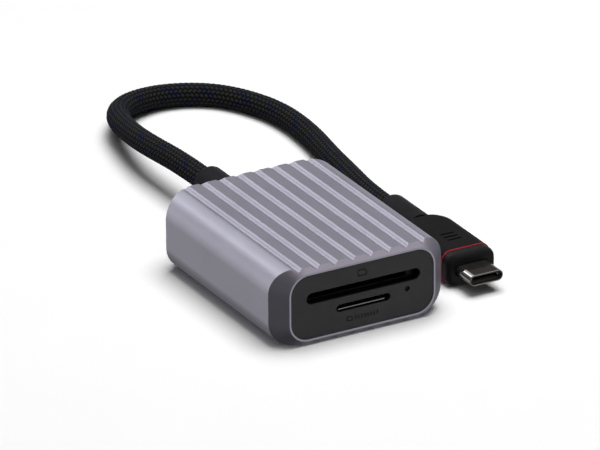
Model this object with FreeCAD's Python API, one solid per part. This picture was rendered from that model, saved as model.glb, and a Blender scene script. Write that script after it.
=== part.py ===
import FreeCAD, Part
import math
import os

from FreeCAD import Vector

# A memory-card reader on a short braided lead with a USB-C plug. Millimetres, +Z up, +Y to the back.
# The origin is on the surface that the reader stands on, below the middle of its housing.

# --- driving dimensions -------------------------------------------------------------------------
BODY_W, BODY_L, BODY_H = 42.6, 52.0, 17.85   # housing: across, front to back, height
CORNER_R = 5.6                               # long outer corners of the extrusion
MOUTH_W, MOUTH_H, MOUTH_R = 35.1, 14.9, 4.3  # the opening that each end plate closes
LIP = 0.42                                   # flat rim round the mouth, before the chamfer starts
GROOVES, PITCH, GROOVE_W = 8, 4.37, 2.11     # grooves along the top and along the underside
GROOVE_STEP, GROOVE_DEPTH = 0.33, 0.65       # depth of the ledge and of the floor of a groove
PLATE_T, PLATE_RECESS = 2.4, 0.15            # end plates, set back a little from the rim
FIT = 0.04                                   # gap round a plate that is pushed in

BOARD_T, BOARD_TOP = 1.0, 9.25               # circuit board thickness, and height of its top face
BOARD_HALF_W, BOARD_BACK = 18.1, 18.8        # half width, and y of the rear edge
GUIDE_DEPTH, GUIDE_GAP = 0.8, 0.1            # slots in the side walls that hold the board

SD_SLOT_W, SD_SLOT_H, SD_SLOT_Z = 27.9, 2.65, 10.7
MICRO_SLOT_W, MICRO_SLOT_H, MICRO_SLOT_Z = 13.3, 1.75, 6.87
SLOT_X = 0.3                                 # both slots sit a little to the right of the middle
LED_X, LED_Z, LED_HOLE_R = 11.1, 7.67, 0.6
SLOT_BEVEL = 0.08                            # lead-in round each slot
ENGRAVING = 0.25                             # depth of the symbols
SYMBOL_STROKE = 0.2
SD_SYMBOL = (0.0, 14.1, 2.3, 1.5, 0.55)      # x, z, width, height and cut corner of the card outline
MICRO_SYMBOL = (-3.2, 3.95, 1.5, 1.2, 0.4)
BARS_X, BARS_COUNT, BARS_PITCH, BARS_W, BARS_H = 1.0, 8, 0.75, 0.28, 1.0

CABLE_R = 2.5
COLLAR_R, COLLAR_ROUND = 3.9, 0.7            # rubber collars at both ends of the lead
COLLAR_END = 42.4                            # y where the lead leaves the housing's collar
COLLAR_ROOT_R = 4.7                          # where the collar meets the rear plate
NECK_R, FLANGE_R, FLANGE_FRONT = 2.9, 4.2, 22.2
STUB_R, STUB_FRONT = 2.2, 20.6               # end of the collar's core, inside the housing
CLAMP_R, CLAMP_Y = 2.7, (20.8, 22.0)         # crimp ring on the core
EXIT_Z = BODY_H / 2

PLUG_X, PLUG_Z = 32.75, 3.9                  # axis of the plug, which lies along -Y
PLUG_W, PLUG_H, PLUG_R = 12.2, 7.8, 2.5      # overmould cross-section
PLUG_MOUTH, PLUG_FACE, PLUG_REAR = -22.6, -16.4, 5.9
BAND_FRONT, BAND_BACK = -13.65, -13.3        # coloured band between nose and overmould
PLUG_REAR_R = 4.6                            # rear corners seen from above
PLUG_COLLAR_END = 18.8
NOSE_BEVEL = 0.7
GRIP_FIRST, GRIP_PITCH, GRIP_COUNT = -8.8, 1.6, 3  # grip bars pressed into the overmould's top
GRIP_W, GRIP_L, GRIP_DEPTH = 0.6, 3.6, 0.25
POCKET_W, POCKET_H, POCKET_R, POCKET_BACK = 8.8, 3.0, 0.6, -3.5
SHELL_W, SHELL_H, SHELL_WALL = 8.25, 2.56, 0.25
LINER_BACK, LINER_GAP = 0.7, 0.02            # liner set back from the shell's mouth, and its gap all round
CAVITY_W, CAVITY_H, CAVITY_BACK = 6.8, 1.05, -16.4

# Centre line of the lead: the corners of its straight runs, from the housing's collar to the plug's.
ROUTE = [
    (0.0, 42.4, 8.925),
    (0.0, 53.8, 8.925),
    (-0.6, 69.0, 7.9),
    (0.8, 80.2, 6.4),
    (3.6, 92.3, 5.0),
    (10.8, 99.7, 3.8),
    (21.0, 101.8, 2.9),
    (30.9, 97.6, 2.55),
    (36.5, 89.5, 2.55),
    (39.6, 79.0, 2.55),
    (39.3, 66.0, 2.55),
    (37.0, 53.0, 2.6),
    (35.2, 41.5, 3.1),
    (32.75, 28.8, 3.9),
    (32.75, 18.8, 3.9),
]
ARC_SHARE = 0.45                             # part of the shorter run that each bend takes up

FRONT, BACK, MID_Z = -BODY_L / 2, BODY_L / 2, BODY_H / 2
BOARD_BOTTOM = BOARD_TOP - BOARD_T
PLATE_INNER = FRONT + PLATE_RECESS + PLATE_T  # inner face of the front plate
SOCKET_FRONT = PLATE_INNER + 0.1

os.makedirs("parts", exist_ok=True)


# --- helpers ------------------------------------------------------------------------------------
def save(name, shape):
    """Write one node, and say how many solids it holds."""
    if not shape.isValid():
        print("INVALID", name)
    shape.exportStep("parts/" + name + ".step")
    print(f"{name}: {len(shape.Solids)} solid(s), {shape.Volume:.1f} mm3")
    return shape


def block(x, y, z):
    """A box from three (low, high) pairs."""
    return Part.makeBox(x[1] - x[0], y[1] - y[0], z[1] - z[0], Vector(x[0], y[0], z[0]))


def outline(width, height, radius, y, x_mid=0.0, z_mid=MID_Z):
    """Rounded rectangle in the XZ plane at y. A radius of half the height gives a slot."""
    a, b = width / 2, height / 2
    s = radius * math.sqrt(0.5)
    edges = []
    corners = [(a - radius, b - radius, 1, 1), (a - radius, radius - b, 1, -1),
               (radius - a, radius - b, -1, -1), (radius - a, b - radius, -1, 1)]
    arcs = []
    for cx, cz, sx, sz in corners:
        side = Vector(x_mid + cx + sx * radius, y, z_mid + cz)
        middle = Vector(x_mid + cx + sx * s, y, z_mid + cz + sz * s)
        end = Vector(x_mid + cx, y, z_mid + cz + sz * radius)
        arcs.append((end, middle, side) if sx * sz > 0 else (side, middle, end))
    for i, (start, middle, end) in enumerate(arcs):
        edges.append(Part.Arc(start, middle, end).toShape())
        following = arcs[(i + 1) % len(arcs)][0]
        if end.distanceToPoint(following) > 1e-6:
            edges.append(Part.LineSegment(end, following).toShape())
    return Part.Wire(edges)


def prism(wire, length):
    return Part.Face(wire).extrude(Vector(0, length, 0))


def slab(width, height, radius, y0, y1, x_mid=0.0, z_mid=MID_Z):
    return prism(outline(width, height, radius, y0, x_mid, z_mid), y1 - y0)


def rod(radius, y0, y1, x, z):
    return Part.makeCylinder(radius, y1 - y0, Vector(x, y0, z), Vector(0, 1, 0))


def turned(profile, x, z):
    """Solid of revolution about an axis along Y through (x, z); profile is a list of (y, radius)."""
    points = [Vector(x, y, z + r) for y, r in profile]
    points.append(points[0])
    return Part.Face(Part.makePolygon(points)).revolve(Vector(x, 0, z), Vector(0, 1, 0), 360)


def extruded_x(profile, x0, x1):
    """Prism along X of a closed profile of (y, z) points."""
    points = [Vector(x0, y, z) for y, z in profile]
    points.append(points[0])
    return Part.Face(Part.makePolygon(points)).extrude(Vector(x1 - x0, 0, 0))


def group(shapes):
    return Part.makeCompound(shapes)


def spread(count, pitch):
    """Offsets of count things at an even pitch, centred on zero."""
    return [(i - (count - 1) / 2) * pitch for i in range(count)]


# --- housing ------------------------------------------------------------------------------------
def groove_cutter(left, surface_z, direction):
    """One groove: a floor, a narrow ledge part-way up each side, and steep facets between them."""
    half = [(0.0, 0.0), (0.40, GROOVE_STEP), (0.52, GROOVE_STEP), (0.90, GROOVE_DEPTH)]
    other = [(GROOVE_W - x, depth) for x, depth in reversed(half)]
    profile = [(0.0, -1.0)] + half + other + [(GROOVE_W, -1.0)]
    points = [Vector(left + x, FRONT - 1, surface_z - direction * depth) for x, depth in profile]
    points.append(points[0])
    return Part.Face(Part.makePolygon(points)).extrude(Vector(0, BODY_L + 2, 0))


def chamfer_envelope():
    """What the 45 degree chamfers at both ends leave: it flares from each rim, then runs straight."""
    rim_w, rim_h, rim_r = MOUTH_W + 2 * LIP, MOUTH_H + 2 * LIP, MOUTH_R + LIP
    flare = (BODY_W - rim_w) / 2 + 0.5
    wires = []
    for y, grow in ((FRONT, 0), (FRONT + flare, flare), (BACK - flare, flare), (BACK, 0)):
        wires.append(outline(rim_w + 2 * grow, rim_h + 2 * grow, rim_r + grow, y))
    return Part.makeLoft(wires, True, True)


def make_housing():
    sleeve = slab(BODY_W, BODY_H, CORNER_R, FRONT, BACK).common(chamfer_envelope())
    first = -((GROOVES - 1) * PITCH + GROOVE_W) / 2
    cutters = []
    for i in range(GROOVES):
        cutters.append(groove_cutter(first + i * PITCH, BODY_H, 1))
        cutters.append(groove_cutter(first + i * PITCH, 0.0, -1))
    cutters.append(slab(MOUTH_W, MOUTH_H, MOUTH_R, FRONT - 1, BACK + 1))
    guide = MOUTH_W / 2 + GUIDE_DEPTH
    cutters.append(block((-guide, guide), (PLATE_INNER, -PLATE_INNER),
                         (BOARD_BOTTOM - GUIDE_GAP, BOARD_TOP + GUIDE_GAP)))
    return sleeve.cut(cutters)


def card_slot(width, height, z):
    """Slot through the front plate with a lead-in bevel at its mouth."""
    face = FRONT + PLATE_RECESS
    through = slab(width, height, height / 2, face - 1, PLATE_INNER + 1, SLOT_X, z)
    grow = 2 * SLOT_BEVEL
    wide = outline(width + grow, height + grow, (height + grow) / 2, face, SLOT_X, z)
    narrow = outline(width, height, height / 2, face + SLOT_BEVEL, SLOT_X, z)
    return through.fuse(Part.makeLoft([wide, narrow], True, True))


def card_symbol(x, z, width, height, cut):
    """Engraved outline of a card with one cut corner."""
    y = FRONT + PLATE_RECESS

    def card(inset):
        a, b = width / 2 - inset, height / 2 - inset
        corner = cut - inset * 0.6
        points = [(-a, -b), (a, -b), (a, b - corner), (a - corner, b), (-a, b)]
        wire = [Vector(x + px, y - 1, z + pz) for px, pz in points]
        wire.append(wire[0])
        return Part.Face(Part.makePolygon(wire)).extrude(Vector(0, 1 + ENGRAVING, 0))

    return card(0).cut(card(SYMBOL_STROKE))


def bar_symbol(z):
    """Engraved row of short bars, like the contacts of a card."""
    y = (FRONT + PLATE_RECESS - 1, FRONT + PLATE_RECESS + ENGRAVING)
    bars = []
    for offset in spread(BARS_COUNT, BARS_PITCH):
        x = BARS_X + offset
        bars.append(block((x - BARS_W / 2, x + BARS_W / 2), y, (z - BARS_H / 2, z + BARS_H / 2)))
    return group(bars)


def plate_blank(y0):
    return slab(MOUTH_W - 2 * FIT, MOUTH_H - 2 * FIT, MOUTH_R - FIT, y0, y0 + PLATE_T)


def make_front_plate():
    cutters = [
        card_slot(SD_SLOT_W, SD_SLOT_H, SD_SLOT_Z),
        card_slot(MICRO_SLOT_W, MICRO_SLOT_H, MICRO_SLOT_Z),
        rod(LED_HOLE_R, FRONT - 1, PLATE_INNER + 1, LED_X, LED_Z),
        card_symbol(*SD_SYMBOL),
        card_symbol(*MICRO_SYMBOL),
        bar_symbol(MICRO_SYMBOL[1]),
    ]
    return plate_blank(FRONT + PLATE_RECESS).cut(cutters)


def make_rear_plate():
    y0 = BACK - PLATE_RECESS - PLATE_T
    return plate_blank(y0).cut(rod(NECK_R, y0 - 1, BACK + 1, 0, EXIT_Z))


# --- card sockets -------------------------------------------------------------------------------
class Socket:
    """Sizes of one push-push card socket. Heights are counted from the board's face, away from it."""

    wall = 0.8          # rear wall
    spring_gap = 0.03   # free space at each end of the coil spring
    pin_depth = 0.7     # how far the latch wire's rear end reaches into the wall

    def __init__(self, name, **sizes):
        self.name = name                # start of the node names
        self.face_z = sizes["face_z"]   # the board's face
        self.up = sizes["up"]           # 1 above the board, -1 below it
        self.card_half = sizes["card_half"]
        self.outer_half = sizes["outer_half"]
        self.back = sizes["back"]       # y of the socket's rear end
        self.floor = sizes["floor"]
        self.rail = sizes["rail"]       # height of the side rails
        self.cover = sizes["cover"]     # underside of the shield
        self.sheet = sizes["sheet"]
        self.lip = sizes["lip"]         # how far the shield reaches into the front plate's slot
        self.slider = sizes["slider"]   # (x0, x1), (y0, y1), (h0, h1) of the slider's block
        self.arm_x = sizes["arm_x"]     # where the slider's arm ends, in the card's way
        self.track_depth = sizes["track_depth"]
        self.travel = sizes["travel"]
        self.link_axis = sizes["link_axis"]   # height of the latch wire's straight run
        self.link_r = sizes["link_r"]
        self.spring_axis = sizes["spring_axis"]
        self.spring_r = sizes["spring_r"]
        self.spring_wire = sizes["spring_wire"]
        self.spring_turns = sizes["spring_turns"]
        self.contacts = spread(*sizes["contacts"])
        self.contact_w = sizes["contact_w"]
        self.track_x = sum(self.slider[0]) / 2
        self.tip_y = self.slider[1][1] - 1.0            # latch wire's front end
        self.pivot_y = self.back - self.wall / 2        # latch wire's rear end

    def z(self, h):
        return self.face_z + self.up * h

    def box(self, x, y, h):
        low, high = sorted((self.z(h[0]), self.z(h[1])))
        return block(x, y, (low, high))

    def post(self, radius, y, h):
        """Round post in the track's plane, between two heights."""
        low, high = sorted((self.z(h[0]), self.z(h[1])))
        return Part.makeCylinder(radius, high - low, Vector(self.track_x, y, low))


def socket_base(s):
    """Moulded frame: floor, one solid rail, a walled channel for the slider and a rear wall."""
    a, c = s.outer_half, s.card_half
    inner_back = s.back - s.wall
    stop = 1.5
    base = s.box((-a, a), (SOCKET_FRONT, s.back), (0, s.floor))
    base = base.fuse(s.box((-a, -c), (SOCKET_FRONT, s.back), (0, s.rail)))
    base = base.fuse(s.box((-a, a), (inner_back, s.back), (0, s.rail)))
    base = base.fuse(s.box((c, a), (SOCKET_FRONT, SOCKET_FRONT + stop), (0, s.rail)))
    half = s.contact_w / 2 + 0.12
    cutters = []
    for x in s.contacts:
        cutters.append(s.box((x - half, x + half), (inner_back - 9.5, s.back + 1), (-1, s.floor + 0.02)))
    notch = (s.track_x - s.link_r - 0.2, s.track_x + s.link_r + 0.2)
    under_wire = s.link_axis - s.link_r - 0.15
    cutters.append(s.box(notch, (inner_back - 1, s.pivot_y), (under_wire, s.rail + 1)))
    cutters.append(s.post(s.link_r + 0.05, s.pivot_y, (s.link_axis - s.pin_depth - 0.1, s.rail + 1)))
    return base.cut(cutters)


def socket_cover(s):
    """Stamped shield: flat top, lip at the mouth if it has one, folded skirts, two spring windows."""
    a, t = s.outer_half + 0.04, s.sheet
    top = s.box((-a - t, a + t), (SOCKET_FRONT, s.back), (s.cover, s.cover + t))
    pieces = [s.box((-a - t, -a), (SOCKET_FRONT, s.back), (0.1, s.cover)),
              s.box((a, a + t), (SOCKET_FRONT, s.back), (0.1, s.cover))]
    if s.lip:
        lip_y = (SOCKET_FRONT - s.lip, SOCKET_FRONT)
        pieces.append(s.box((-s.card_half, s.card_half), lip_y, (s.cover, s.cover + t)))
    windows = []
    for x in (-s.card_half * 0.5, s.card_half * 0.35):
        windows.append(s.box((x - 0.7, x + 0.7), (s.back - 12, s.back - 6), (s.cover - 1, s.cover + 1)))
    return top.fuse(pieces).cut(windows)


def socket_contacts(s):
    """Spring strips: flat in the floor, rising to a bump in the card's channel."""
    t = 0.15
    y1 = s.back + 0.9
    y0 = s.back - s.wall - 9.0
    lower = [(y1, 0.03), (y0 + 5, 0.03), (y0 + 1.2, s.floor + 0.25), (y0, s.floor - 0.1)]
    upper = [(y, h + t) for y, h in reversed(lower)]
    profile = [(y, s.z(h)) for y, h in lower + upper]
    half = s.contact_w / 2
    return group([extruded_x(profile, x - half, x + half) for x in s.contacts])


def eject_slider(s):
    """Slider block with the track for the latch wire, and the arm that pushes the card out."""
    (x0, x1), (y0, y1), (h0, h1) = s.slider
    body = s.box((x0, x1), (y0, y1), (h0, h1))
    arm = s.box((s.arm_x, x0 + 0.1), (y1 - 1.2, y1), (h0 + 0.1, h1 - 0.1))
    half = (x1 - x0) / 2 - 0.3
    track = s.box((s.track_x - half, s.track_x + half), (s.tip_y - s.travel - 0.4, s.tip_y + 0.4),
                  (h1 - s.track_depth, h1 + 1))
    return body.fuse(arm).cut(track)


def latch_link(s):
    """Latch wire: a straight run between two bent-down ends, the rear one turning in the rear wall."""
    r = s.link_r
    run = rod(r, s.tip_y, s.pivot_y, s.track_x, s.z(s.link_axis))
    front = s.post(r, s.tip_y, (s.slider[2][1] - s.track_depth * 0.6, s.link_axis))
    rear = s.post(r, s.pivot_y, (s.link_axis - s.pin_depth, s.link_axis))
    elbows = [Part.makeSphere(r, Vector(s.track_x, y, s.z(s.link_axis))) for y in (s.tip_y, s.pivot_y)]
    return run.fuse([front, rear] + elbows)


def eject_spring(s):
    """Coil spring between the slider and the rear wall."""
    wire = s.spring_wire
    y0 = s.slider[1][1] + wire + s.spring_gap
    y1 = s.back - s.wall - wire - s.spring_gap
    middle = s.spring_r - wire
    helix = Part.makeHelix((y1 - y0) / s.spring_turns, y1 - y0, middle)
    section = Part.Wire([Part.makeCircle(wire, Vector(middle, 0, 0), Vector(0, 1, 0))])
    coil = Part.Wire(helix).makePipeShell([section], True, True)
    coil.rotate(Vector(0, 0, 0), Vector(1, 0, 0), -90)
    coil.translate(Vector(s.track_x, y0, s.z(s.spring_axis)))
    return coil


SD = Socket("sd", face_z=BOARD_TOP, up=1, card_half=12.15, outer_half=13.95, back=6.6, floor=0.4,
            rail=2.9, cover=3.0, sheet=0.22, lip=0,
            slider=((12.35, 13.65), (-8.4, -1.2), (0.55, 2.3)), arm_x=10.8, track_depth=0.55, travel=4.2,
            link_axis=2.58, link_r=0.15, spring_axis=1.35, spring_r=0.62, spring_wire=0.11,
            spring_turns=9, contacts=(9, 2.5), contact_w=0.9)
MICRO = Socket("microsd", face_z=BOARD_BOTTOM, up=-1, card_half=5.7, outer_half=7.1, back=-8.3, floor=0.35,
               rail=1.58, cover=1.65, sheet=0.18, lip=2.0,
               slider=((5.85, 6.95), (-20.6, -15.4), (0.45, 1.05)), arm_x=4.4, track_depth=0.3, travel=3.2,
               link_axis=1.29, link_r=0.1, spring_axis=0.74, spring_r=0.32, spring_wire=0.07,
               spring_turns=10, contacts=(8, 1.1), contact_w=0.55)


# --- board --------------------------------------------------------------------------------------
SCREW_HOLE_R, SCREW_HOLE_X, SCREW_HOLE_Y = 0.8, 15.5, (-20.0, 15.5)
CONTROLLER = ((6.0, 6.0, 0.85), [(-3.0, 12.6)])            # size, then centres in plan
CRYSTAL = ((3.2, 2.5, 0.75), [(6.6, 12.6)])
REGULATOR = ((2.9, 1.6, 1.1), [(12.0, 12.6)])
CAPACITORS = ((1.6, 0.8, 0.8),
              [(-9.5, 9.6), (-9.5, 11.6), (-9.5, 13.6), (-9.5, 15.6), (3.2, 9.6), (3.2, 15.8), (13.0, 9.6)])
RESISTORS = ((1.0, 0.5, 0.4),
             [(-12.0, 9.6), (-12.0, 11.2), (-12.0, 12.8), (6.4, 9.4), (8.0, 9.4), (-14.2, 9.6),
              (-14.2, 11.2)])
LED_W, LED_Y = 1.6, (-22.8, -22.0)
WIRE_R = 0.4
WIRE_ENDS = [(-1.3, 9.9, -4.5), (-0.45, 10.45, -1.6), (0.45, 10.45, 1.6), (1.3, 9.9, 4.5)]  # x, z, pad x
WIRE_PAD_Y = (16.6, 18.0)


def make_board():
    board = block((-BOARD_HALF_W, BOARD_HALF_W), (SOCKET_FRONT, BOARD_BACK), (BOARD_BOTTOM, BOARD_TOP))
    holes = []
    for x in (-SCREW_HOLE_X, SCREW_HOLE_X):
        for y in SCREW_HOLE_Y:
            holes.append(Part.makeCylinder(SCREW_HOLE_R, BOARD_T + 2, Vector(x, y, BOARD_BOTTOM - 1)))
    return board.cut(holes)


def chips(sizes, places):
    """Identical parts soldered on top of the board."""
    dx, dy, dz = sizes
    out = []
    for x, y in places:
        out.append(block((x - dx / 2, x + dx / 2), (y - dy / 2, y + dy / 2), (BOARD_TOP, BOARD_TOP + dz)))
    return group(out)


def make_wires():
    """Four cores from the end of the lead to their pads on the board."""
    wires = []
    pad_z = BOARD_TOP + WIRE_R + 0.02
    for x, z, pad_x in WIRE_ENDS:
        path = [(x, STUB_FRONT, z), (x, STUB_FRONT - 1.5, z)]
        path += [(pad_x, y, pad_z) for y in reversed(WIRE_PAD_Y)]
        wires.append(tube(path, WIRE_R))
    return group(wires)


# --- lead ---------------------------------------------------------------------------------------
def rounded_path(points):
    """Straight runs joined by tangent arcs. Returns the wire and each bend's radius."""
    p = [Vector(*q) for q in points]
    edges = []
    radii = []
    start = p[0]
    for before, corner, after in zip(p, p[1:], p[2:]):
        into = (corner - before).normalize()
        out = (after - corner).normalize()
        reach = ARC_SHARE * min((corner - before).Length, (after - corner).Length)
        half_turn = into.getAngle(out) / 2
        radius = reach / math.tan(half_turn)
        radii.append(radius)
        first, last = corner - into * reach, corner + out * reach
        inward = (out - into).normalize()
        centre_gap = radius / math.cos(half_turn)
        middle = corner + inward * (centre_gap - radius)
        edges.append(Part.LineSegment(start, first).toShape())
        edges.append(Part.Arc(first, middle, last).toShape())
        start = last
    edges.append(Part.LineSegment(start, p[-1]).toShape())
    return Part.Wire(edges), radii


def tube(points, radius):
    path, _ = rounded_path(points)
    ahead = Vector(*points[1]) - Vector(*points[0])
    section = Part.Wire([Part.makeCircle(radius, Vector(*points[0]), ahead)])
    return path.makePipeShell([section], True, False)


def make_cable():
    path, radii = rounded_path(ROUTE)
    cable = tube(ROUTE, CABLE_R)
    print("lead bend radii, mm:", [round(r, 1) for r in radii], "smallest / diameter",
          round(min(radii) / (2 * CABLE_R), 2))
    print(f"lead length {path.Length:.1f} mm, volume {cable.Volume:.1f}, "
          f"section x length {math.pi * CABLE_R ** 2 * path.Length:.1f}")
    return cable


def rounded_end(y, radius, rounding, steps=4):
    """(y, radius) points of a rounded rim that ends at y, from the side to the end face."""
    out = []
    for i in range(steps + 1):
        t = math.pi / 2 * i / steps
        out.append((y - rounding + rounding * math.sin(t), radius - rounding + rounding * math.cos(t)))
    return out


def make_body_relief():
    """Rubber collar: core, flange behind the rear plate, neck through it, then the tapered collar outside."""
    plate_in, plate_out = BACK - PLATE_RECESS - PLATE_T, BACK - PLATE_RECESS
    profile = [(STUB_FRONT, 0), (STUB_FRONT, STUB_R), (FLANGE_FRONT, STUB_R), (FLANGE_FRONT, FLANGE_R),
               (plate_in, FLANGE_R), (plate_in, NECK_R), (plate_out, NECK_R), (plate_out, COLLAR_ROOT_R),
               (BACK + 0.9, COLLAR_ROOT_R - 0.2), (BACK + 2.4, COLLAR_R + 0.25)]
    profile += rounded_end(COLLAR_END, COLLAR_R, COLLAR_ROUND)
    profile.append((COLLAR_END, 0))
    return turned(profile, 0, EXIT_Z)


def make_clamp():
    """Crimp ring on the collar's core inside the housing."""
    y0, y1 = CLAMP_Y
    return rod(CLAMP_R, y0, y1, 0, EXIT_Z).cut(rod(STUB_R, y0 - 1, y1 + 1, 0, EXIT_Z))


# --- plug ---------------------------------------------------------------------------------------
def plug_slab(y0, y1):
    """A length of the plug's cross-section."""
    return slab(PLUG_W, PLUG_H, PLUG_R, y0, y1, PLUG_X, PLUG_Z)


def plan_rounding():
    """Plan shape of the overmould: square in front, round at the back."""
    a, r, low = PLUG_W / 2, PLUG_REAR_R, PLUG_Z - PLUG_H
    s = r * math.sqrt(0.5)
    y0, y1 = PLUG_FACE - 5, PLUG_REAR
    corner = [Vector(PLUG_X + a - r + dx, y1 - r + dy, low) for dx, dy in ((r, 0), (s, s), (0, r))]
    mirrored = [Vector(2 * PLUG_X - v.x, v.y, v.z) for v in reversed(corner)]
    right = Vector(PLUG_X + a, y0, low)
    left = Vector(PLUG_X - a, y0, low)
    edges = [
        Part.LineSegment(left, right).toShape(),
        Part.LineSegment(right, corner[0]).toShape(),
        Part.Arc(*corner).toShape(),
        Part.LineSegment(corner[2], mirrored[0]).toShape(),
        Part.Arc(*mirrored).toShape(),
        Part.LineSegment(mirrored[2], left).toShape(),
    ]
    return Part.Face(Part.Wire(edges)).extrude(Vector(0, 0, 3 * PLUG_H))


def plug_pocket(y0, y1):
    return slab(POCKET_W, POCKET_H, POCKET_R, y0, y1, PLUG_X, PLUG_Z)


def make_overmould():
    body = plug_slab(BAND_BACK, PLUG_REAR).common(plan_rounding())
    top = PLUG_Z + PLUG_H / 2
    grips = []
    for i in range(GRIP_COUNT):
        y = GRIP_FIRST + i * GRIP_PITCH
        grips.append(block((PLUG_X - GRIP_L / 2, PLUG_X + GRIP_L / 2), (y - GRIP_W / 2, y + GRIP_W / 2),
                           (top - GRIP_DEPTH, top + 1)))
    return body.cut([plug_pocket(BAND_BACK - 1, POCKET_BACK)] + grips)


def make_band():
    return plug_slab(BAND_FRONT, BAND_BACK).cut(plug_pocket(BAND_FRONT - 1, BAND_BACK + 1))


def make_nose():
    """Front of the plug, with its front edge eased, closed round the metal shell."""
    b = NOSE_BEVEL
    straight = plug_slab(PLUG_FACE + b, BAND_FRONT)
    small = outline(PLUG_W - 2 * b, PLUG_H - 2 * b, PLUG_R - b, PLUG_FACE, PLUG_X, PLUG_Z)
    full = outline(PLUG_W, PLUG_H, PLUG_R, PLUG_FACE + b, PLUG_X, PLUG_Z)
    nose = straight.fuse(Part.makeLoft([small, full], True, True))
    return nose.cut(slab(SHELL_W, SHELL_H, SHELL_H / 2, PLUG_FACE - 1, BAND_FRONT + 1, PLUG_X, PLUG_Z))


def make_shell():
    outer = slab(SHELL_W, SHELL_H, SHELL_H / 2, PLUG_MOUTH, BAND_FRONT, PLUG_X, PLUG_Z)
    w, h = SHELL_W - 2 * SHELL_WALL, SHELL_H - 2 * SHELL_WALL
    return outer.cut(slab(w, h, h / 2, PLUG_MOUTH - 1, BAND_FRONT + 1, PLUG_X, PLUG_Z))


def make_insulator():
    w, h = SHELL_W - 2 * (SHELL_WALL + LINER_GAP), SHELL_H - 2 * (SHELL_WALL + LINER_GAP)
    liner = slab(w, h, h / 2, PLUG_MOUTH + LINER_BACK, BAND_FRONT, PLUG_X, PLUG_Z)
    tail = slab(w - 0.3, h, 0.4, BAND_FRONT, BAND_BACK + 1.5, PLUG_X, PLUG_Z)
    cavity = slab(CAVITY_W, CAVITY_H, 0.3, PLUG_MOUTH - 1, CAVITY_BACK, PLUG_X, PLUG_Z)
    return liner.fuse(tail).cut(cavity)


def make_plug_contacts():
    """Two rows of twelve strips on the cavity's faces."""
    half, t = 0.13, 0.1
    y = (PLUG_MOUTH + 1.3, CAVITY_BACK)
    strips = []
    for offset in spread(12, 0.5):
        x = PLUG_X + offset
        for low in (PLUG_Z - CAVITY_H / 2, PLUG_Z + CAVITY_H / 2 - t):
            strips.append(block((x - half, x + half), y, (low, low + t)))
    return group(strips)


def make_side_latches():
    half, height = 0.12, 0.44
    strips = []
    for side in (-1, 1):
        x = PLUG_X + side * (CAVITY_W / 2 - half)
        strips.append(block((x - half, x + half), (PLUG_MOUTH + 1.0, CAVITY_BACK),
                            (PLUG_Z - height / 2, PLUG_Z + height / 2)))
    return group(strips)


def make_plug_board():
    half_w, half_t = 3.6, 0.4
    return block((PLUG_X - half_w, PLUG_X + half_w), (BAND_BACK + 1.6, POCKET_BACK - 0.4),
                 (PLUG_Z - half_t, PLUG_Z + half_t))


def make_plug_relief():
    profile = [(PLUG_REAR, 0), (PLUG_REAR, COLLAR_R + 0.2)]
    profile += rounded_end(PLUG_COLLAR_END, COLLAR_R, COLLAR_ROUND)
    profile.append((PLUG_COLLAR_END, 0))
    return turned(profile, PLUG_X, PLUG_Z)


# --- all nodes ----------------------------------------------------------------------------------
save("housing_sleeve", make_housing())
save("front_plate", make_front_plate())
save("rear_plate", make_rear_plate())
save("main_board", make_board())
save("controller_chip", chips(*CONTROLLER))
save("crystal_oscillator", chips(*CRYSTAL))
save("voltage_regulator", chips(*REGULATOR))
save("chip_capacitors", chips(*CAPACITORS))
save("chip_resistors", chips(*RESISTORS))
save("status_led", block((LED_X - LED_W / 2, LED_X + LED_W / 2), LED_Y, (BOARD_BOTTOM - 1.0, BOARD_BOTTOM)))
save("light_pipe", rod(LED_HOLE_R - 0.05, FRONT + PLATE_RECESS + 0.35, LED_Y[0] - 0.05, LED_X, LED_Z))
for socket in (SD, MICRO):
    save(socket.name + "_socket_base", socket_base(socket))
    save(socket.name + "_socket_cover", socket_cover(socket))
    save(socket.name + "_contacts", socket_contacts(socket))
    save(socket.name + "_eject_slider", eject_slider(socket))
    save(socket.name + "_eject_spring", eject_spring(socket))
    save(socket.name + "_latch_link", latch_link(socket))
save("cable_wires", make_wires())
save("cable_clamp", make_clamp())
save("body_strain_relief", make_body_relief())
save("usb_cable", make_cable())
save("plug_strain_relief", make_plug_relief())
save("plug_overmould", make_overmould())
save("plug_band", make_band())
save("plug_nose", make_nose())
save("usb_c_shell", make_shell())
save("usb_c_insulator", make_insulator())
save("usb_c_contacts", make_plug_contacts())
save("usb_c_side_latches", make_side_latches())
save("plug_board", make_plug_board())
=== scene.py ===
import math

import bmesh
import bpy
import numpy as np
from mathutils import Matrix, Vector


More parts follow.
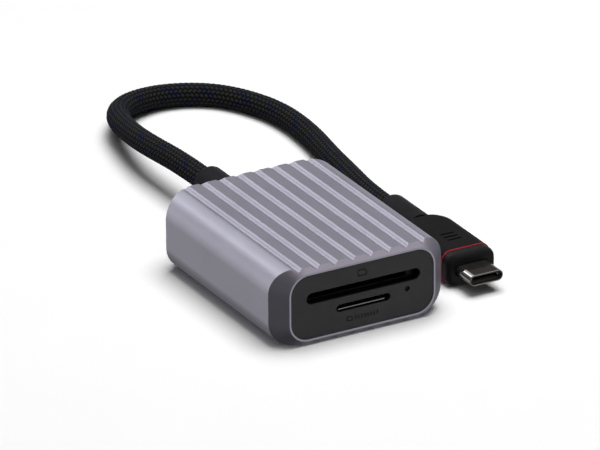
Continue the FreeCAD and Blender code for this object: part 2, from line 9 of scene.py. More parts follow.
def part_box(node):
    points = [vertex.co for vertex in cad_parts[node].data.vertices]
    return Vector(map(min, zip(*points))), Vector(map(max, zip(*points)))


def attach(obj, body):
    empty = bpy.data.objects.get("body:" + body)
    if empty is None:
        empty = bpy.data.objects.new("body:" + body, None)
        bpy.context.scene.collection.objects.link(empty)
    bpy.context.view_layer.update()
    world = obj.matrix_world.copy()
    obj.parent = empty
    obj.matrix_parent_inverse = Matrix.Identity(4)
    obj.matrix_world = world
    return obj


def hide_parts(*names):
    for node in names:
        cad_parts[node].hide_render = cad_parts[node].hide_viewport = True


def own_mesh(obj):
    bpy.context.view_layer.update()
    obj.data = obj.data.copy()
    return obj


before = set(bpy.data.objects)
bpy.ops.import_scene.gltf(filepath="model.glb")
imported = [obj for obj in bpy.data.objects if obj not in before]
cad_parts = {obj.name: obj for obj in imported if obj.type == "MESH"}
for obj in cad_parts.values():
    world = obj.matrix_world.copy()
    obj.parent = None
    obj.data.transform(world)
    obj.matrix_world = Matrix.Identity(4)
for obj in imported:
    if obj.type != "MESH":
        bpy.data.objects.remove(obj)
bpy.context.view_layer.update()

# A memory-card reader on a short braided lead with a USB-C plug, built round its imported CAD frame.
# Lengths are in metres. MM turns a size in millimetres into metres.

MM = 0.001
BODY = "reader"

# --- camera -------------------------------------------------------------------------------------
CAMERA_TARGET = Vector((0.015833, 0.029378, 0.0))
CAMERA_AZIMUTH, CAMERA_ELEVATION, CAMERA_ROLL = -29.334, 24.33, -0.335
CAMERA_DISTANCE = 1.977581
SENSOR_WIDTH = 36.0
FOCAL_LENGTH = 539.95
CLIP_NEAR, CLIP_FAR = 0.05, 50.0


def make_camera():
    """Long-lens camera looking down at the reader from its front left."""
    azimuth, elevation, roll = (math.radians(a) for a in (CAMERA_AZIMUTH, CAMERA_ELEVATION, CAMERA_ROLL))
    back = Vector((math.sin(azimuth) * math.cos(elevation), -math.cos(azimuth) * math.cos(elevation),
                   math.sin(elevation)))
    level = Vector((math.cos(azimuth), math.sin(azimuth), 0.0))
    rise = back.cross(level)
    right = math.cos(roll) * level + math.sin(roll) * rise
    up = math.cos(roll) * rise - math.sin(roll) * level
    data = bpy.data.cameras.new("camera")
    data.sensor_width = SENSOR_WIDTH
    data.lens = FOCAL_LENGTH
    data.clip_start, data.clip_end = CLIP_NEAR, CLIP_FAR
    camera = bpy.data.objects.new("camera", data)
    bpy.context.scene.collection.objects.link(camera)
    turn = Matrix((right, up, back)).transposed().to_4x4()
    camera.matrix_world = Matrix.Translation(CAMERA_TARGET + CAMERA_DISTANCE * back) @ turn
    bpy.context.scene.camera = camera


make_camera()


# --- mesh helpers -------------------------------------------------------------------------------
SAME_POINT = 0.002 * MM               # points nearer than this are one
SAME_PLANE, HARD_EDGE = 0.4, 28.0     # degrees: flats that are joined, edges that are rounded
LATHE_AROUND = 96                     # points round a turned piece


def add_object(name, data):
    piece = bpy.data.objects.new(name, data)
    bpy.context.scene.collection.objects.link(piece)
    return piece


def mesh_from_arrays(name, points, faces, smooth=True):
    mesh = bpy.data.meshes.new(name)
    mesh.from_pydata([tuple(p) for p in points], [], [tuple(int(i) for i in f) for f in faces])
    mesh.validate()
    mesh.polygons.foreach_set("use_smooth", [smooth] * len(mesh.polygons))
    mesh.update()
    return mesh


def sharpen(mesh, degrees):
    """Smooth shading that stays crisp across edges steeper than the angle."""
    mesh.polygons.foreach_set("use_smooth", [True] * len(mesh.polygons))
    mesh.set_sharp_from_angle(angle=math.radians(degrees))


def rings_to_faces(rings, around, closed=False):
    """Quads between rings of points, each with the same number of points around."""
    faces = []
    last = rings if closed else rings - 1
    for i in range(last):
        here, there = i * around, ((i + 1) % rings) * around
        for k in range(around):
            following = (k + 1) % around
            faces.append((here + k, here + following, there + following, there + k))
    return faces


def end_caps(rings, around):
    """The faces that close the first ring and the last."""
    return [tuple(range(around - 1, -1, -1)), tuple(range((rings - 1) * around, rings * around))]


def skin(name, rings, closed=False):
    """Mesh over rings of points. A closed one joins its last ring to its first, and others are capped."""
    around = len(rings[0])
    faces = rings_to_faces(len(rings), around, closed)
    if not closed:
        faces += end_caps(len(rings), around)
    mesh = mesh_from_arrays(name, [point for ring in rings for point in ring], faces)
    outward(mesh)
    return mesh


def lathe(name, profile, x, z):
    """Solid turned about an axis along Y through (x, z). The profile is a list of (y, radius)."""
    angles = np.linspace(0, 2 * math.pi, LATHE_AROUND, endpoint=False)
    rings = []
    for y, radius in profile:
        rings.append([(x + radius * math.cos(a), y, z + radius * math.sin(a)) for a in angles])
    return skin(name, rings)


def rounded_section(half_w, half_h, radius, per_corner, per_side):
    """Points of a rounded rectangle, counter-clockwise. Their number depends only on the last two."""
    radius = min(radius, half_w, half_h)
    corners = [(1, 1, 0), (-1, 1, 90), (-1, -1, 180), (1, -1, 270)]
    points = []
    for index, (sx, sz, start) in enumerate(corners):
        cx, cz = sx * (half_w - radius), sz * (half_h - radius)
        arc = []
        for k in range(per_corner + 1):
            a = math.radians(start + 90 * k / per_corner)
            arc.append((cx + radius * math.cos(a), cz + radius * math.sin(a)))
        points += arc
        nx, nz, following = corners[(index + 1) % 4]
        a = math.radians(following)
        end = (nx * (half_w - radius) + radius * math.cos(a), nz * (half_h - radius) + radius * math.sin(a))
        for k in range(1, per_side + 1):
            t = k / (per_side + 1)
            points.append((arc[-1][0] * (1 - t) + end[0] * t, arc[-1][1] * (1 - t) + end[1] * t))
    return points


def loft(name, stations, x, z, closed=False, detail=(10, 4)):
    """Skin over sections along Y. A station is (y, half width, half height, corner radius)."""
    rings = []
    for y, half_w, half_h, radius in stations:
        section = rounded_section(half_w, half_h, radius, *detail)
        rings.append([(x + px, y, z + pz) for px, pz in section])
    return skin(name, rings, closed)


def carried_frames(points):
    """Two cross directions at each point of a line, without twist."""
    tangents = np.gradient(points, axis=0)
    tangents /= np.linalg.norm(tangents, axis=1)[:, None]
    side = np.cross(tangents[0], (0, 0, 1.0))
    side /= np.linalg.norm(side)
    sides = []
    for t in tangents:
        side = side - t * (side @ t)
        side /= np.linalg.norm(side)
        sides.append(side)
    sides = np.array(sides)
    return sides, np.cross(tangents, sides)


def tube_rings(line, radius, angles):
    """Rings of points round a line. The radius is one number, or one for each point and angle."""
    sides, ups = carried_frames(line)
    out = (np.cos(angles)[None, :, None] * sides[:, None, :]
           + np.sin(angles)[None, :, None] * ups[:, None, :])
    return line[:, None, :] + np.asarray(radius)[..., None] * out


def outward(mesh):
    """Turns every face to look out of the solid."""
    shape = bmesh.new()
    shape.from_mesh(mesh)
    bmesh.ops.recalc_face_normals(shape, faces=shape.faces)
    shape.to_mesh(mesh)
    shape.free()


def refined(node, bevel):
    """A new mesh with the CAD node's shape, its flats joined and its hard edges slightly rounded."""
    shape = bmesh.new()
    shape.from_mesh(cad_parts[node].data)
    bmesh.ops.remove_doubles(shape, verts=shape.verts, dist=SAME_POINT)
    bmesh.ops.dissolve_limit(shape, angle_limit=math.radians(SAME_PLANE), verts=shape.verts,
                             edges=shape.edges, delimit=set())
    hard = [e for e in shape.edges
            if len(e.link_faces) == 2 and e.calc_face_angle(0.0) > math.radians(HARD_EDGE)]
    bmesh.ops.bevel(shape, geom=hard, offset=bevel, offset_type="OFFSET", segments=2, profile=0.5,
                    affect="EDGES", clamp_overlap=True, harden_normals=False)
    bmesh.ops.recalc_face_normals(shape, faces=shape.faces)
    mesh = bpy.data.meshes.new(node + "_shape")
    shape.to_mesh(mesh)
    shape.free()
    return mesh


def weighted(piece):
    """Normals weighted by face area, so that flats stay flat beside their rounded edges."""
    piece.data.polygons.foreach_set("use_smooth", [True] * len(piece.data.polygons))
    modifier = piece.modifiers.new("weighted_normal", "WEIGHTED_NORMAL")
    modifier.keep_sharp = False
    modifier.weight = 90


# --- braid of the lead --------------------------------------------------------------------------
STRANDS = 16                # strands wound each way
YARNS = 2                   # yarns side by side in one strand
BRAID_PITCH = 19.5 * MM     # length of one turn of a strand
NAVY_STRANDS = ((0, 1, 9, 10), (3, 4, 12))   # navy strands of each winding direction
NAVY = (0.0135, 0.0178, 0.038)
CHARCOAL = (0.0225, 0.0222, 0.0218)
FLOAT_RISE, STRAND_ROUND, YARN_ROUND = 0.60, 0.45, 0.45   # relief of a strand, in the braid's own unit
# The braid's colour carries painted shade in the gaps between strands and a painted highlight on their
# crowns.
GAP_HEIGHT, CROWN_HEIGHT = 0.75, 1.40        # heights, in that unit, where the shading starts and ends
GAP_SHARPNESS, CROWN_SHADE = 1.4, 1.25       # how fast the gaps darken, and how light a crown is


# --- material helpers ---------------------------------------------------------------------------
NOISE_LOW, NOISE_HIGH = 0.3, 0.7    # nearly all of a noise's values lie between these


class Tree:
    """A small wrapper for building a node tree."""

    def __init__(self, tree):
        self.tree = tree

    def add(self, kind, **settings):
        node = self.tree.nodes.new(kind)
        for key, value in settings.items():
            setattr(node, key, value)
        return node

    def feed(self, socket, value):
        """Links an output to the socket, or sets the socket to a number, vector or colour."""
        if isinstance(value, bpy.types.NodeSocket):
            self.tree.links.new(value, socket)
        elif isinstance(value, tuple) and len(socket.default_value) == 4:
            socket.default_value = (*value, 1.0)
        else:
            socket.default_value = value

    def feed_all(self, node, **values):
        """Feeds sockets by name, with _ for a space."""
        for key, value in values.items():
            self.feed(node.inputs[key.replace("_", " ")], value)

    def axes(self, vector):
        node = self.add("ShaderNodeSeparateXYZ")
        self.feed(node.inputs["Vector"], vector)
        return node.outputs

    def remap(self, source, low, high, from_low=0.0, from_high=1.0, interpolation="LINEAR"):
        node = self.add("ShaderNodeMapRange", interpolation_type=interpolation)
        self.feed_all(node, Value=source, From_Min=from_low, From_Max=from_high, To_Min=low, To_Max=high)
        return node.outputs["Result"]

    def math(self, operation, *values):
        node = self.add("ShaderNodeMath", operation=operation)
        for socket, value in zip(node.inputs, values):
            self.feed(socket, value)
        return node.outputs["Value"]

    def vector_math(self, operation, first, second):
        node = self.add("ShaderNodeVectorMath", operation=operation)
        self.feed(node.inputs[0], first)
        self.feed(node.inputs["Scale" if operation == "SCALE" else 1], second)
        return node.outputs["Value" if operation == "DOT_PRODUCT" else "Vector"]

    def mix(self, factor, first, second):
        node = self.add("ShaderNodeMix", data_type="RGBA")
        for index, value in ((0, factor), (6, first), (7, second)):
            self.feed(node.inputs[index], value)
        return node.outputs[2]


class Nodes(Tree):
    """One material's node tree."""

    def __init__(self, name):
        self.material = bpy.data.materials.new(name + "_finish")
        self.material.use_nodes = True
        super().__init__(self.material.node_tree)
        self.shader = self.tree.nodes["Principled BSDF"]
        self.coordinates = self.add("ShaderNodeTexCoord").outputs["Object"]

    def set(self, **values):
        """Uniform values on the shader's own sockets."""
        self.feed_all(self.shader, **values)

    def mapping(self, scale):
        node = self.add("ShaderNodeMapping")
        self.feed_all(node, Vector=self.coordinates, Scale=scale)
        return node.outputs["Vector"]

    def noise(self, scale, detail=3.0, roughness=0.55, vector=None):
        node = self.add("ShaderNodeTexNoise")
        self.feed(node.inputs["Vector"], vector or self.coordinates)
        self.feed_all(node, Scale=scale, Detail=detail, Roughness=roughness)
        return node.outputs["Fac"]

    def spread(self, noise, low, high):
        """Stretches a noise to run from low to high."""
        return self.remap(noise, low, high, NOISE_LOW, NOISE_HIGH)

    def clouded(self, scale, dark, light):
        """Soft patches of two colours."""
        return self.mix(self.remap(self.noise(scale, 2.0), 0.0, 1.0, 0.35, 0.65), dark, light)

    def bands(self, source, stops):
        """Plain bands of colour. stops is a list of (position, colour)."""
        node = self.add("ShaderNodeValToRGB")
        node.color_ramp.interpolation = "CONSTANT"
        elements = node.color_ramp.elements
        while len(elements) < len(stops):
            elements.new(0.5)
        for element, (position, colour) in zip(elements, stops):
            element.position = position
            element.color = (*colour, 1.0)
        self.feed(node.inputs["Fac"], source)
        return node.outputs["Color"]

    def bump(self, height, distance, strength, normal=None):
        node = self.add("ShaderNodeBump")
        self.feed_all(node, Height=height, Distance=distance, Strength=strength)
        if normal is not None:
            self.feed(node.inputs["Normal"], normal)
        return node.outputs["Normal"]

    def finish(self, colour, roughness, normal=None):
        for key, value in (("Base Color", colour), ("Roughness", roughness), ("Normal", normal)):
            if value is not None:
                self.feed(self.shader.inputs[key], value)
        return self.material


def anodised():
    """Bead-blasted, space-grey anodised aluminium."""
    n = Nodes("anodised_aluminium")
    n.set(Metallic=1.0)
    grain = n.noise(9000, 2.0, 0.6)
    colour = n.clouded(60, (0.475, 0.465, 0.525), (0.505, 0.495, 0.555))
    return n.finish(colour, n.spread(grain, 0.40, 0.52), n.bump(grain, 0.006 * MM, 0.5))


def moulded(name, dark, light, roughness, grain_scale=6500, depth=0.006, specular=0.5):
    """Moulded plastic or rubber with a fine spark-eroded texture."""
    n = Nodes(name)
    n.set(Specular_IOR_Level=specular)
    grain = n.noise(grain_scale, 3.0, 0.6)
    rough = n.spread(grain, roughness - 0.06, roughness + 0.06)
    return n.finish(n.clouded(150, dark, light), rough, n.bump(grain, depth * MM, 0.6))


def plate_plastic():
    """Matt black plastic of the end plates, with painted shade that darkens it down inside the slots and
    holes.
    """
    light_end, dark_end = 25.75 * MM, 25.25 * MM    # distances along Y from the middle of the housing
    n = Nodes("face_plastic")
    n.set(Specular_IOR_Level=0.3)
    grain = n.noise(6500, 3.0, 0.6)
    from_middle = n.math("ABSOLUTE", n.axes(n.coordinates)["Y"], 0.0)
    # Painted shade: deeper in the slots and holes the colour fades to near black, where light hardly
    # reaches.
    inside = n.remap(from_middle, 0.0, 1.0, light_end, dark_end)
    face = n.clouded(150, (0.033, 0.033, 0.0336), (0.038, 0.038, 0.0386))
    colour = n.mix(inside, face, (0.0015, 0.0015, 0.0015))
    return n.finish(colour, n.spread(grain, 0.5, 0.62), n.bump(grain, 0.006 * MM, 0.6))


def metal(name, dark, light, roughness, streak=(1, 1, 1), metallic=1.0):
    """Stamped, drawn or plated metal with fine streaks."""
    n = Nodes(name)
    n.set(Metallic=metallic)
    lines = n.noise(2500, 3.0, 0.6, n.mapping(streak))
    rough = n.spread(lines, roughness * 0.8, roughness * 1.25)
    return n.finish(n.clouded(300, dark, light), rough, n.bump(lines, 0.002 * MM, 0.5))


def solder_mask():
    """Green solder mask with darker gaps between the copper areas under it."""
    n = Nodes("board_green")
    n.set(Specular_IOR_Level=0.5)
    cells = n.add("ShaderNodeTexBrick")
    n.feed_all(cells, Vector=n.coordinates, Scale=420, Mortar_Size=0.03)
    copper = cells.outputs["Fac"]
    colour = n.mix(copper, (0.012, 0.085, 0.03), (0.02, 0.13, 0.05))
    return n.finish(colour, n.spread(n.noise(3000), 0.28, 0.4), n.bump(copper, 0.02 * MM, 0.4))


def wire_insulation():
    """Four cores side by side, each in its own colour."""
    half_span = 5 * MM
    red, white = (0.4, 0.012, 0.01), (0.55, 0.55, 0.52)
    green, black = (0.02, 0.2, 0.04), (0.015, 0.015, 0.016)
    n = Nodes("wire_cores")
    across = n.remap(n.axes(n.coordinates)["X"], 0.0, 1.0, -half_span, half_span)
    colour = n.bands(across, [(0.0, red), (0.27, white), (0.5, green), (0.68, black)])
    drawn = n.noise(2500)
    return n.finish(colour, n.spread(drawn, 0.38, 0.5), n.bump(drawn, 0.004 * MM, 0.5))


def braid_material():
    """Polyester braid: strands over and under each other, each of them two yarns, some strands navy, with
    painted shade in the gaps and a painted highlight on the crowns.
    """
    n = Nodes("braided_sleeve")
    n.set(Specular_IOR_Level=0.04)
    winding = n.axes(n.add("ShaderNodeAttribute", attribute_name="winding").outputs["Vector"])
    a, b = winding["X"], winding["Y"]

    def dome(u):
        off_centre = n.math("MULTIPLY_ADD", n.math("FRACT", u, 0.0), 2.0, -1.0)
        square = n.math("POWER", n.math("ABSOLUTE", off_centre, 0.0), 2.0)
        return n.math("SQRT", n.math("MAXIMUM", n.math("SUBTRACT", 1.0, square), 0.0), 0.0)

    def height(own, other, sign):
        phase = n.math("FLOORED_MODULO", n.math("ADD", n.math("FLOOR", own, 0.0), other), 4.0)
        wave = n.math("SINE", n.math("MULTIPLY", phase, math.pi / 2), 0.0)
        over = n.math("MULTIPLY", wave, sign * FLOAT_RISE)
        whole = n.math("MULTIPLY", dome(own), STRAND_ROUND)
        yarns = n.math("MULTIPLY", dome(n.math("MULTIPLY", own, float(YARNS))), YARN_ROUND)
        return n.math("ADD", over, n.math("ADD", whole, yarns))

    def shade(own, navy):
        middle = n.math("ADD", n.math("FLOOR", own, 0.0), 0.5)
        place = n.math("FRACT", n.math("DIVIDE", middle, float(STRANDS)), 0.0)
        stops = []
        for k in range(STRANDS):
            colour = NAVY if k in navy else CHARCOAL
            if not stops or stops[-1][1] != colour:
                stops.append((k / STRANDS, colour))
        return n.bands(place, stops)

    high_a, high_b = height(a, b, 1.0), height(b, a, -1.0)
    top = n.math("MAXIMUM", high_a, high_b)
    on_top_b = n.math("GREATER_THAN", high_b, high_a)
    strand = n.mix(on_top_b, shade(a, NAVY_STRANDS[0]), shade(b, NAVY_STRANDS[1]))
    fuzz = n.noise(7000, 3.0, 0.6)
    # Painted shade and highlight: the colour darkens towards the gaps between strands and lightens on their
    # crowns, with random fuzz on top.
    lit = n.math("POWER", n.remap(top, 0.0, 1.0, GAP_HEIGHT, CROWN_HEIGHT), GAP_SHARPNESS)
    gap_shade_and_fuzz = n.math("MULTIPLY", n.remap(lit, 0.0, CROWN_SHADE), n.spread(fuzz, 0.75, 1.25))
    woven = n.bump(top, 0.09 * MM, 0.8, n.bump(fuzz, 0.01 * MM, 0.4))
    return n.finish(n.vector_math("SCALE", strand, gap_shade_and_fuzz), n.spread(fuzz, 0.5, 0.7), woven)


def tan_ceramic():
    """Speckled ceramic of the capacitors."""
    n = Nodes("ceramic_tan")
    cells = n.add("ShaderNodeTexVoronoi")
    n.feed_all(cells, Vector=n.coordinates, Scale=9000)
    speckle = cells.outputs["Distance"]
    colour = n.mix(n.remap(speckle, 0.0, 1.0, 0.1, 0.6), (0.36, 0.25, 0.14), (0.5, 0.37, 0.22))
    return n.finish(colour, n.remap(speckle, 0.35, 0.55), n.bump(speckle, 0.005 * MM, 0.4))


# After a moulding's name: dark and light colour, roughness, grain's scale, its depth in mm, specular level.
# After a metal's name: dark and light colour, roughness, scale of its streaks along each axis, metallic.
ANODISED = anodised()
PLATE = plate_plastic()
RUBBER = moulded("collar_rubber", (0.0075, 0.0075, 0.0083), (0.0095, 0.0095, 0.0103), 0.6, 4500,
                 0.008, 0.11)
PLUG_BLACK = moulded("plug_plastic", (0.0046, 0.0046, 0.0048), (0.0058, 0.0058, 0.006), 0.6, specular=0.09)
NOSE_BLACK = moulded("nose_plastic", (0.006, 0.006, 0.0062), (0.0075, 0.0075, 0.0077), 0.5, 9000, 0.003, 0.2)
BAND_RED = moulded("band_red", (0.30, 0.006, 0.018), (0.36, 0.008, 0.022), 0.5, specular=0.25)
SOCKET_BLACK = moulded("socket_plastic", (0.02, 0.02, 0.021), (0.028, 0.028, 0.029), 0.5)
SLIDER_BLACK = moulded("slider_plastic", (0.05, 0.05, 0.054), (0.06, 0.06, 0.064), 0.42)
CHIP_BLACK = moulded("chip_black", (0.015, 0.015, 0.016), (0.022, 0.022, 0.023), 0.55, 12000, 0.004)
LINER = moulded("liner_plastic", (0.009, 0.009, 0.0095), (0.012, 0.012, 0.0125), 0.4)
LENS = moulded("led_lens", (0.7, 0.72, 0.62), (0.8, 0.8, 0.7), 0.18, 2000, 0.002)
LIGHT_GUIDE = moulded("light_guide", (0.003, 0.003, 0.0034), (0.004, 0.004, 0.0044), 0.5, 2000, 0.002, 0.15)
DARK_NICKEL = metal("dark_nickel", (0.30, 0.29, 0.265), (0.34, 0.33, 0.305), 0.09, (1, 0.08, 1), 0.96)
STAMPED = metal("stamped_steel", (0.56, 0.56, 0.57), (0.64, 0.64, 0.65), 0.3, (1, 0.05, 1))
SPRING_STEEL = metal("spring_steel", (0.5, 0.5, 0.51), (0.6, 0.6, 0.61), 0.26, (1, 0.2, 1))
TINNED = metal("component_tin", (0.55, 0.54, 0.51), (0.66, 0.65, 0.62), 0.35)
SHIELD_STEEL = metal("shield_steel", (0.30, 0.30, 0.305), (0.35, 0.35, 0.355), 0.3, (1, 0.05, 1))
GOLD = metal("contact_gold", (0.78, 0.54, 0.22), (0.86, 0.63, 0.28), 0.24, (1, 0.1, 1))
COPPER = metal("crimp_copper", (0.52, 0.34, 0.17), (0.62, 0.43, 0.22), 0.3, (0.2, 1, 0.2))
BRAID = braid_material()
MASK_GREEN = solder_mask()
WIRES = wire_insulation()
CERAMIC = tan_ceramic()


def dress(piece, material, replaces):
    """Gives a new piece its finish and the reader's body, and hides the CAD nodes that it stands for."""
    piece.data.materials.clear()
    piece.data.materials.append(material)
    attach(piece, BODY)
    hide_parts(*replaces)
    return piece


# --- lead ---------------------------------------------------------------------------------------
ROUTE = [
    (0.0, 0.0424, 0.008925),
    (0.0, 0.0538, 0.008925),
    (-0.0006, 0.0690, 0.0079),
    (0.0008, 0.0802, 0.0064),
    (0.0036, 0.0923, 0.0050),
    (0.0108, 0.0997, 0.0038),
    (0.0210, 0.1018, 0.0029),
    (0.0309, 0.0976, 0.00255),
    (0.0365, 0.0895, 0.00255),
    (0.0396, 0.0790, 0.00255),
    (0.0393, 0.0660, 0.00255),
    (0.0370, 0.0530, 0.0026),
    (0.0352, 0.0415, 0.0031),
    (0.03275, 0.0288, 0.0039),
    (0.03275, 0.0188, 0.0039),
]
CABLE_R = 2.5 * MM
BRAID_CROWN_R = 2.62 * MM   # radius over the tops of the strands
RELIEF = 0.26 * MM          # how deep the braid's valleys are
BRAID_AROUND = 96           # points round the braid
BRAID_STEP = 0.16 * MM      # distance between its rings
LINE_STEP = 0.5 * MM        # distance between the points of its centre line


def route_points():
    """Points along the route's NURBS spline."""
    curve = bpy.data.curves.new("route", "CURVE")
    curve.dimensions = "3D"
    spline = curve.splines.new("NURBS")
    spline.points.add(len(ROUTE) - 1)
    for point, place in zip(spline.points, ROUTE):
        point.co = (*place, 1.0)
    spline.order_u = 3
    spline.use_endpoint_u = True
    spline.resolution_u = 24
    holder = add_object("route", curve)
    line = bpy.data.meshes.new_from_object(holder)
    points = np.array([v.co for v in line.vertices], float)
    bpy.data.objects.remove(holder)
    bpy.data.curves.remove(curve)
    bpy.data.meshes.remove(line)
    return points


def even(points, step):
    """The same line with points at an even step, and their distances along it."""
    lengths = np.concatenate([[0], np.cumsum(np.linalg.norm(np.diff(points, axis=0), axis=1))])
    count = int(round(lengths[-1] / step))
    places = np.linspace(0, lengths[-1], count + 1)
    return np.stack([np.interp(places, lengths, points[:, k]) for k in range(3)], axis=1), places


def braid_height(a, b):
    """Height over a two-over-two braid. a and b count the strands of each direction."""
    def one(own, other, sign):
        over = sign * FLOAT_RISE * np.sin(np.pi / 2 * ((np.floor(own) + other) % 4))
        return over + STRAND_ROUND * np.sqrt(np.clip(1 - (2 * (own % 1) - 1) ** 2, 0, 1))
    return np.maximum(one(a, b, 1), one(b, a, -1))


def make_lead():
    """The braided lead as a mesh tube with a real relief, and its centre line."""
    line, _ = even(route_points(), LINE_STEP)
    points, places = even(line, BRAID_STEP)
    turns = np.arange(BRAID_AROUND) / BRAID_AROUND
    forward = places / BRAID_PITCH
    top = braid_height(STRANDS * (turns[None, :] + forward[:, None]),
                       STRANDS * (turns[None, :] - forward[:, None]))
    top = (top - top.min()) / (top.max() - top.min())
    radius = BRAID_CROWN_R - RELIEF * (1 - top)
    mesh = skin("usb_cable_braid", tube_rings(points, radius, 2 * math.pi * turns))
    corners = np.empty(len(mesh.loops), int)
    mesh.loops.foreach_get("vertex_index", corners)
    rings, around = corners // BRAID_AROUND, corners % BRAID_AROUND
    # In the faces that close the circle, corners of the first column count as a whole turn on.
    in_quads = 4 * (len(points) - 1) * BRAID_AROUND
    quads = around[:in_quads].reshape(-1, 4)
    seam = (quads.max(axis=1, keepdims=True) == BRAID_AROUND - 1) & (quads == 0)
    around[:in_quads] = np.where(seam, BRAID_AROUND, quads).ravel()
    winding = np.zeros((len(corners), 3))
    winding[:, 0] = STRANDS * (around / BRAID_AROUND + forward[rings])
    winding[:, 1] = STRANDS * (around / BRAID_AROUND - forward[rings])
    attribute = mesh.attributes.new("winding", "FLOAT_VECTOR", "CORNER")
    attribute.data.foreach_set("vector", winding.ravel())
    return add_object("usb_cable_braid", mesh), line


lead, lead_line = make_lead()
dress(lead, BRAID, replaces=["usb_cable"])

# --- collars of the lead ------------------------------------------------------------------------
COLLAR_R, COLLAR_ROUND = 3.9 * MM, 0.7 * MM
COLLAR_MOUTH_R = CABLE_R * 0.9    # the mouths end just inside the lead
SLEEVE_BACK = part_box("housing_sleeve")[1].y


def collar_rim(y):
    """(y, radius) points of a collar's rounded rim that ends at y, from its side to its mouth."""
    points = []
    for k in range(11):
        t = math.pi / 2 * k / 10
        points.append((y - COLLAR_ROUND + COLLAR_ROUND * math.sin(t),
                       COLLAR_R - COLLAR_ROUND + COLLAR_ROUND * math.cos(t)))
    return points + [(y, COLLAR_MOUTH_R)]


def make_body_collar():
    """Collar with a neck in the rear plate, between a flange inside and a flared lip outside."""
    low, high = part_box("body_strain_relief")
    plate_back = SLEEVE_BACK - 0.15 * MM
    plate_front, flange_front = plate_back - 2.4 * MM, 22.2 * MM
    tip, tail, flange, neck, lip = 0.4 * MM, 2.2 * MM, 4.2 * MM, 2.9 * MM, 4.65 * MM    # radii
    profile = [(low.y, tip), (low.y, tail), (flange_front, tail), (flange_front, flange),
               (plate_front, flange), (plate_front, neck), (plate_back, neck), (plate_back, lip)]
    flare_start, flare_length = SLEEVE_BACK + 0.3 * MM, 3.4 * MM
    flare_wide, flare_narrow = 4.6 * MM, 3.95 * MM
    for k in range(17):
        t = k / 16
        ease = t * t * (3 - 2 * t)
        profile.append((flare_start + flare_length * t, flare_wide - (flare_wide - flare_narrow) * ease))
    profile += collar_rim(high.y)
    mesh = lathe("body_collar", profile, 0.0, (low.z + high.z) / 2)
    sharpen(mesh, 50)
    return add_object("body_collar", mesh)


def make_plug_collar():
    """Straight collar between the plug and the lead."""
    low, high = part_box("plug_strain_relief")
    straight = 2.5 * MM
    profile = [(low.y, COLLAR_R), (low.y + straight, COLLAR_R)]
    profile += collar_rim(high.y)
    mesh = lathe("plug_collar", profile, (low.x + high.x) / 2, (low.z + high.z) / 2)
    sharpen(mesh, 50)
    return add_object("plug_collar", mesh)


body_collar = dress(make_body_collar(), RUBBER, replaces=["body_strain_relief"])
plug_collar = dress(make_plug_collar(), RUBBER, replaces=["plug_strain_relief"])


# --- plug ---------------------------------------------------------------------------------------
PLUG_LOW, PLUG_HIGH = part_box("plug_overmould")
PLUG_X, PLUG_Z = (PLUG_LOW.x + PLUG_HIGH.x) / 2, (PLUG_LOW.z + PLUG_HIGH.z) / 2
PLUG_HALF_W, PLUG_HALF_H = (PLUG_HIGH.x - PLUG_LOW.x) / 2, (PLUG_HIGH.z - PLUG_LOW.z) / 2
PLUG_R = 2.5 * MM            # corner radius of its section
PLUG_REAR_R = 4.6 * MM       # rounding of its back in plan
PLUG_REAR_EDGE = 1.1 * MM    # rounding of its top and bottom edges at the back
GRIPS = 3                    # pressed bars on its top
GRIP_FIRST_Y, GRIP_PITCH = -8.8 * MM, 1.6 * MM
GRIP_HALF_L, GRIP_HALF_W, GRIP_DEPTH = 1.8 * MM, 0.3 * MM, 0.25 * MM
GRIP_FOOT, GRIP_FLARE = -0.08 * MM, 0.1 * MM    # what a bar's outline gains at its bottom and above its top


def make_overmould():
    """Soft block: square in front, rounded in plan and along its top and bottom edges at the back."""
    front, rear = PLUG_LOW.y, PLUG_HIGH.y
    bend = rear - PLUG_REAR_R
    front_strip, rear_strip = 1.0 * MM, 2.0 * MM    # short strips keep the shading even between them
    stations = []
    for y in (front, front + front_strip, bend - rear_strip):
        stations.append((y, PLUG_HALF_W, PLUG_HALF_H, PLUG_R))
    for k in range(25):
        t = math.pi / 2 * k / 24
        y = bend + PLUG_REAR_R * math.sin(t)
        half_w = PLUG_HALF_W - PLUG_REAR_R * (1 - math.cos(t))
        past = max(0.0, y - (rear - PLUG_REAR_EDGE))
        drop = PLUG_REAR_EDGE - math.sqrt(max(PLUG_REAR_EDGE ** 2 - past ** 2, 0.0))
        stations.append((y, half_w, PLUG_HALF_H - drop, min(PLUG_R, half_w * 0.95)))
    return add_object("plug_body", loft("plug_body", stations, PLUG_X, PLUG_Z))


def grip_cutter(y):
    """Bar with round ends, slightly wider at its top."""
    top = PLUG_HIGH.z
    rings = []
    for z, grow in ((top - GRIP_DEPTH, GRIP_FOOT), (top + 0.5 * MM, GRIP_FLARE)):
        section = rounded_section(GRIP_HALF_L + grow, GRIP_HALF_W + grow, GRIP_HALF_W + grow, 8, 1)
        rings.append([(PLUG_X + px, y + py, z) for px, py in section])
    return add_object("grip_cutter", skin("grip_cutter", rings))


def cut(piece, cutters):
    """Boolean differences, applied."""
    for cutter in cutters:
        modifier = piece.modifiers.new("cut", "BOOLEAN")
        modifier.operation = "DIFFERENCE"
        modifier.solver = "EXACT"
        modifier.object = cutter
    graph = bpy.context.evaluated_depsgraph_get()
    mesh = bpy.data.meshes.new_from_object(piece.evaluated_get(graph))
    piece.modifiers.clear()
    piece.data = mesh
    for cutter in cutters:
        bpy.data.objects.remove(cutter)


overmould = make_overmould()
cut(overmould, [grip_cutter(GRIP_FIRST_Y + GRIP_PITCH * k) for k in range(GRIPS)])
sharpen(overmould.data, 40)
dress(overmould, PLUG_BLACK, replaces=["plug_overmould"])


